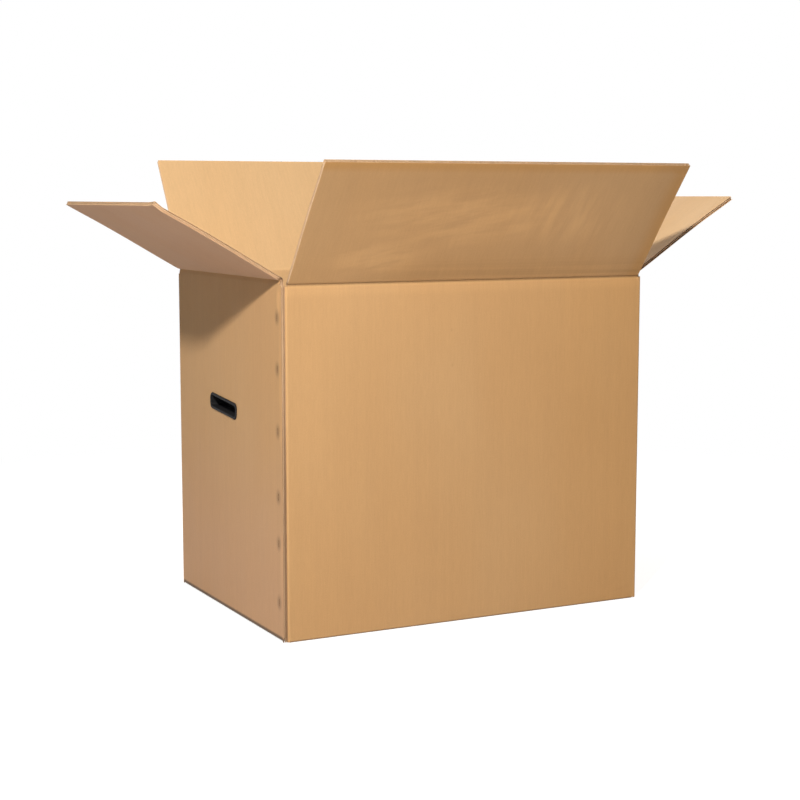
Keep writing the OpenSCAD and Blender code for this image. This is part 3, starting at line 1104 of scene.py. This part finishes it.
def make_hand_hold(side):
    """A moulded cup with a stepped rim and four catches. Local z points into the box."""
    hold = bpy.context.scene.box_hand_holds
    board = board_settings()
    step = 0.0008
    mesh = bmesh.new()
    start = rounded_face(mesh, hold.length, hold.height, hold.corner)
    bottom = start
    made = bmesh.ops.extrude_face_region(mesh, geom=[start], use_keep_orig=True)["geom"]
    rim = [item for item in made if isinstance(item, bmesh.types.BMFace)][0]
    bmesh.ops.translate(mesh, vec=(0, 0, -hold.proud / 2),
                        verts=[item for item in made if isinstance(item, bmesh.types.BMVert)])
    rim = narrow(mesh, rim, step)
    rim = push(mesh, rim, -hold.proud / 2)
    rim = narrow(mesh, rim, hold.rim + hold.wall - step)
    push(mesh, rim, hold.proud + hold.depth - hold.wall)
    bottom = narrow(mesh, bottom, hold.rim)
    push(mesh, bottom, hold.depth)
    bmesh.ops.remove_doubles(mesh, verts=mesh.verts, dist=1e-6)
    bmesh.ops.recalc_face_normals(mesh, faces=mesh.faces)
    sharp = [edge for edge in mesh.edges if len(edge.link_faces) == 2 and edge.calc_face_angle(0) > 0.8]
    bmesh.ops.bevel(mesh, geom=sharp, offset=0.00032, offset_type="OFFSET", segments=3, profile=0.5,
                    affect="EDGES", material=-1, clamp_overlap=True)
    root = hold.height / 2 - hold.rim
    for along in (-0.034, 0.034):
        for flank in (-1, 1):
            made = bmesh.ops.create_cube(mesh, size=1.0)["verts"]
            bmesh.ops.scale(mesh, vec=(0.016, 0.003, 0.006), verts=made)
            bmesh.ops.translate(mesh, verts=made,
                                vec=(along, flank * (root + 0.0005), board.thickness + 0.003))
            for vert in made:
                if vert.co.z > board.thickness + 0.003 and abs(vert.co.y) > root + 0.001:
                    vert.co.y = flank * root
            edges = list({edge for vert in made for edge in vert.link_edges})
            bmesh.ops.bevel(mesh, geom=edges, offset=0.0003, offset_type="OFFSET", segments=2, profile=0.5,
                            affect="EDGES", material=-1)
    tilt = GRIP_TILT
    x = Vector((0, math.cos(tilt), math.sin(tilt)))
    y = Vector((0, -math.sin(tilt), math.cos(tilt)))
    z = Vector((-side, 0, 0))
    place = Vector((side * board.length / 2, GRIP_PLACE[0], GRIP_PLACE[1]))
    matrix = Matrix((x, y, z)).transposed().to_4x4()
    matrix.translation = place
    bmesh.ops.transform(mesh, matrix=matrix, verts=mesh.verts)
    bmesh.ops.recalc_face_normals(mesh, faces=mesh.faces)
    for face in mesh.faces:
        face.smooth = True
    name = "left_hand_hold" if side < 0 else "right_hand_hold"
    piece = new_object(mesh, name)
    piece.data.set_sharp_from_angle(angle=math.radians(50))
    piece.data.materials.append(black_plastic())
    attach(piece, "carton")
    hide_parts("left_handle" if side < 0 else "right_handle")


class BOX_OT_hand_holds(bpy.types.Operator):
    """Make the two moulded hand holds"""

    bl_idname = "box.hand_holds"
    bl_label = "Hand holds"

    def execute(self, context):
        for side in (-1, 1):
            make_hand_hold(side)
        return {"FINISHED"}


class BOX_OT_staples(bpy.types.Operator):
    """Make the flat-wire staples in the corner seam"""

    bl_idname = "box.staples"
    bl_label = "Staples"

    def execute(self, context):
        board = board_settings()
        trim = context.scene.box_trim
        width, wire, length = trim.wire_width, trim.wire_thickness, trim.staple_length
        half_l = board.length / 2
        crown = -half_l - 0.0002
        clinch = -half_l + 2 * board.thickness + SEAM_GAP
        bend, clinched = 0.0008, 0.0036
        mesh = bmesh.new()
        for height in STAPLE_HEIGHTS:
            staple = []
            for flip in (1, -1):
                made = bmesh.ops.create_grid(mesh, x_segments=1, y_segments=1, size=0.5)["verts"]
                bmesh.ops.scale(mesh, vec=(wire, width, 1), verts=made)
                bmesh.ops.translate(mesh, vec=(wire / 2, 0, 0), verts=made)
                face = faces_of(made)[0]
                rise = length / 2 - wire - bend
                run = clinch - crown - wire - 2 * bend + wire
                tip = bmesh.ops.extrude_discrete_faces(mesh, faces=[face])["faces"][0]
                bmesh.ops.translate(mesh, vec=(0, 0, rise), verts=tip.verts)
                spun = bmesh.ops.spin(mesh, geom=[tip], cent=(wire + bend, 0, rise), axis=(0, 1, 0),
                                      angle=math.radians(90), steps=5)
                tip = [item for item in spun["geom_last"] if isinstance(item, bmesh.types.BMFace)][0]
                over = bmesh.ops.extrude_discrete_faces(mesh, faces=[tip])["faces"][0]
                bmesh.ops.translate(mesh, vec=(run, 0, 0), verts=over.verts)
                spun = bmesh.ops.spin(mesh, geom=[over], cent=(wire + bend + run, 0, rise), axis=(0, 1, 0),
                                      angle=math.radians(90), steps=5)
                tip = [item for item in spun["geom_last"] if isinstance(item, bmesh.types.BMFace)][0]
                last = bmesh.ops.extrude_discrete_faces(mesh, faces=[tip])["faces"][0]
                bmesh.ops.translate(mesh, vec=(0, 0, -clinched), verts=last.verts)
                fresh = [vert for vert in mesh.verts if not vert.tag]
                for vert in fresh:
                    vert.co.z *= flip
                    vert.co += Vector((crown, STAPLE_Y, height))
                    vert.tag = True
                staple += fresh
            lean = math.radians(noise.noise(Vector((height * 40, 0, 0))) * 7)
            bmesh.ops.rotate(mesh, cent=(crown, STAPLE_Y, height), matrix=Matrix.Rotation(lean, 3, "X"),
                             verts=staple)
        bmesh.ops.remove_doubles(mesh, verts=mesh.verts, dist=1e-6)
        inner = [face for face in mesh.faces if all(len(edge.link_faces) > 2 for edge in face.edges)]
        bmesh.ops.delete(mesh, geom=inner, context="FACES")
        bmesh.ops.recalc_face_normals(mesh, faces=mesh.faces)
        for face in mesh.faces:
            face.smooth = True
        piece = new_object(mesh, "staples")
        piece.data.set_sharp_from_angle(angle=math.radians(40))
        piece.data.materials.append(staple_wire())
        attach(piece, "carton")
        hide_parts("seam_staples")
        return {"FINISHED"}


class BOX_OT_tape(bpy.types.Operator):
    """Finish the tape over the bottom seam"""

    bl_idname = "box.tape"
    bl_label = "Bottom tape"

    def execute(self, context):
        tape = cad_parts["bottom_tape"]
        tape.data.materials.clear()
        tape.data.materials.append(packing_tape())
        return {"FINISHED"}


def add_lamp(name, place, aim, size, power, colour):
    """A round soft lamp that points at one place."""
    data = bpy.data.lights.new(name, "AREA")
    data.shape = "DISK"
    data.size = size
    data.energy = power
    data.color = colour
    lamp = bpy.data.objects.new(name, data)
    lamp.location = place
    lamp.rotation_euler = (Vector(aim) - lamp.location).to_track_quat("-Z", "Y").to_euler()
    bpy.context.scene.collection.objects.link(lamp)


def add_world(strength):
    """An even fill light, with a white background for what sees it directly."""
    world = bpy.data.worlds.new("studio")
    bpy.context.scene.world = world
    world.use_nodes = True
    nodes, links = world.node_tree.nodes, world.node_tree.links
    fill = nodes["Background"]
    fill.inputs["Color"].default_value = (0.98, 0.89, 0.80, 1.0)
    fill.inputs["Strength"].default_value = strength
    white = nodes.new("ShaderNodeBackground")
    white.inputs["Color"].default_value = (1.0, 1.0, 1.0, 1.0)
    white.inputs["Strength"].default_value = 1.0
    choose = nodes.new("ShaderNodeMixShader")
    links.new(seen_directly(nodes, links), choose.inputs[0])
    links.new(fill.outputs[0], choose.inputs[1])
    links.new(white.outputs[0], choose.inputs[2])
    links.new(choose.outputs[0], nodes["World Output"].inputs["Surface"])


class BOX_OT_studio(bpy.types.Operator):
    """Set up the floor, the light and the camera"""

    bl_idname = "box.studio"
    bl_label = "Studio"

    def execute(self, context):
        studio = context.scene.box_studio
        mesh = bmesh.new()
        bmesh.ops.create_grid(mesh, x_segments=1, y_segments=1, size=studio.floor_size / 2)
        bmesh.ops.translate(mesh, vec=(0, 0, -FLOOR_DROP), verts=mesh.verts)
        floor = new_object(mesh, "floor")
        floor.data.materials.append(studio_floor())

        warm, neutral, soft_size, soft_aim = (1.0, 0.95, 0.87), (1.0, 0.98, 0.97), 1.8, (0.2, 0.0, 0.4)
        add_lamp("key", studio.key_place, (-0.28, -0.1, 0.45), 0.16, studio.key_power, warm)
        add_lamp("overhead", (0.7, -0.2, 2.7), soft_aim, soft_size, studio.overhead_power, neutral)
        add_lamp("back", (1.5, 2.6, 1.5), soft_aim, soft_size, studio.back_power, neutral)
        add_world(studio.fill)

        camera_data = bpy.data.cameras.new("camera")
        camera_data.sensor_width = 36
        camera_data.lens = studio.lens
        camera = bpy.data.objects.new("camera", camera_data)
        camera.location = studio.camera_place
        camera.rotation_euler = (math.radians(90) - studio.camera_pitch, 0, -studio.camera_yaw)
        context.scene.collection.objects.link(camera)
        context.scene.camera = camera
        context.scene.view_settings.view_transform = "Standard"
        return {"FINISHED"}


class BOX_PT_panel(bpy.types.Panel):
    """Lists the box's pieces"""

    bl_idname = "BOX_PT_panel"
    bl_label = "Moving box"
    bl_space_type = "VIEW_3D"
    bl_region_type = "UI"
    bl_category = "Box"

    def draw(self, context):
        for operator in OPERATORS:
            self.layout.operator(operator.bl_idname)
        for group in SETTINGS:
            holder = getattr(context.scene, group)
            box = self.layout.box()
            for key in SETTINGS[group].__annotations__:
                box.prop(holder, key)


OPERATORS = (BOX_OT_walls, BOX_OT_bottom, BOX_OT_top_flaps, BOX_OT_hand_holds, BOX_OT_staples, BOX_OT_tape,
             BOX_OT_studio)
SETTINGS = {
    "box_board": BoardSettings,
    "box_hand_holds": HandHoldSettings,
    "box_trim": TrimSettings,
    "box_studio": StudioSettings,
}


def register():
    for group in SETTINGS.values():
        bpy.utils.register_class(group)
    for name, group in SETTINGS.items():
        setattr(bpy.types.Scene, name, PointerProperty(type=group))
    for kind in (*OPERATORS, BOX_PT_panel):
        bpy.utils.register_class(kind)


def unregister():
    for kind in (BOX_PT_panel, *reversed(OPERATORS)):
        bpy.utils.unregister_class(kind)
    for name, group in SETTINGS.items():
        delattr(bpy.types.Scene, name)
        bpy.utils.unregister_class(group)


def main():
    register()
    for operator in OPERATORS:
        area, action = operator.bl_idname.split(".")
        getattr(getattr(bpy.ops, area), action)()


if __name__ == "__main__":
    main()
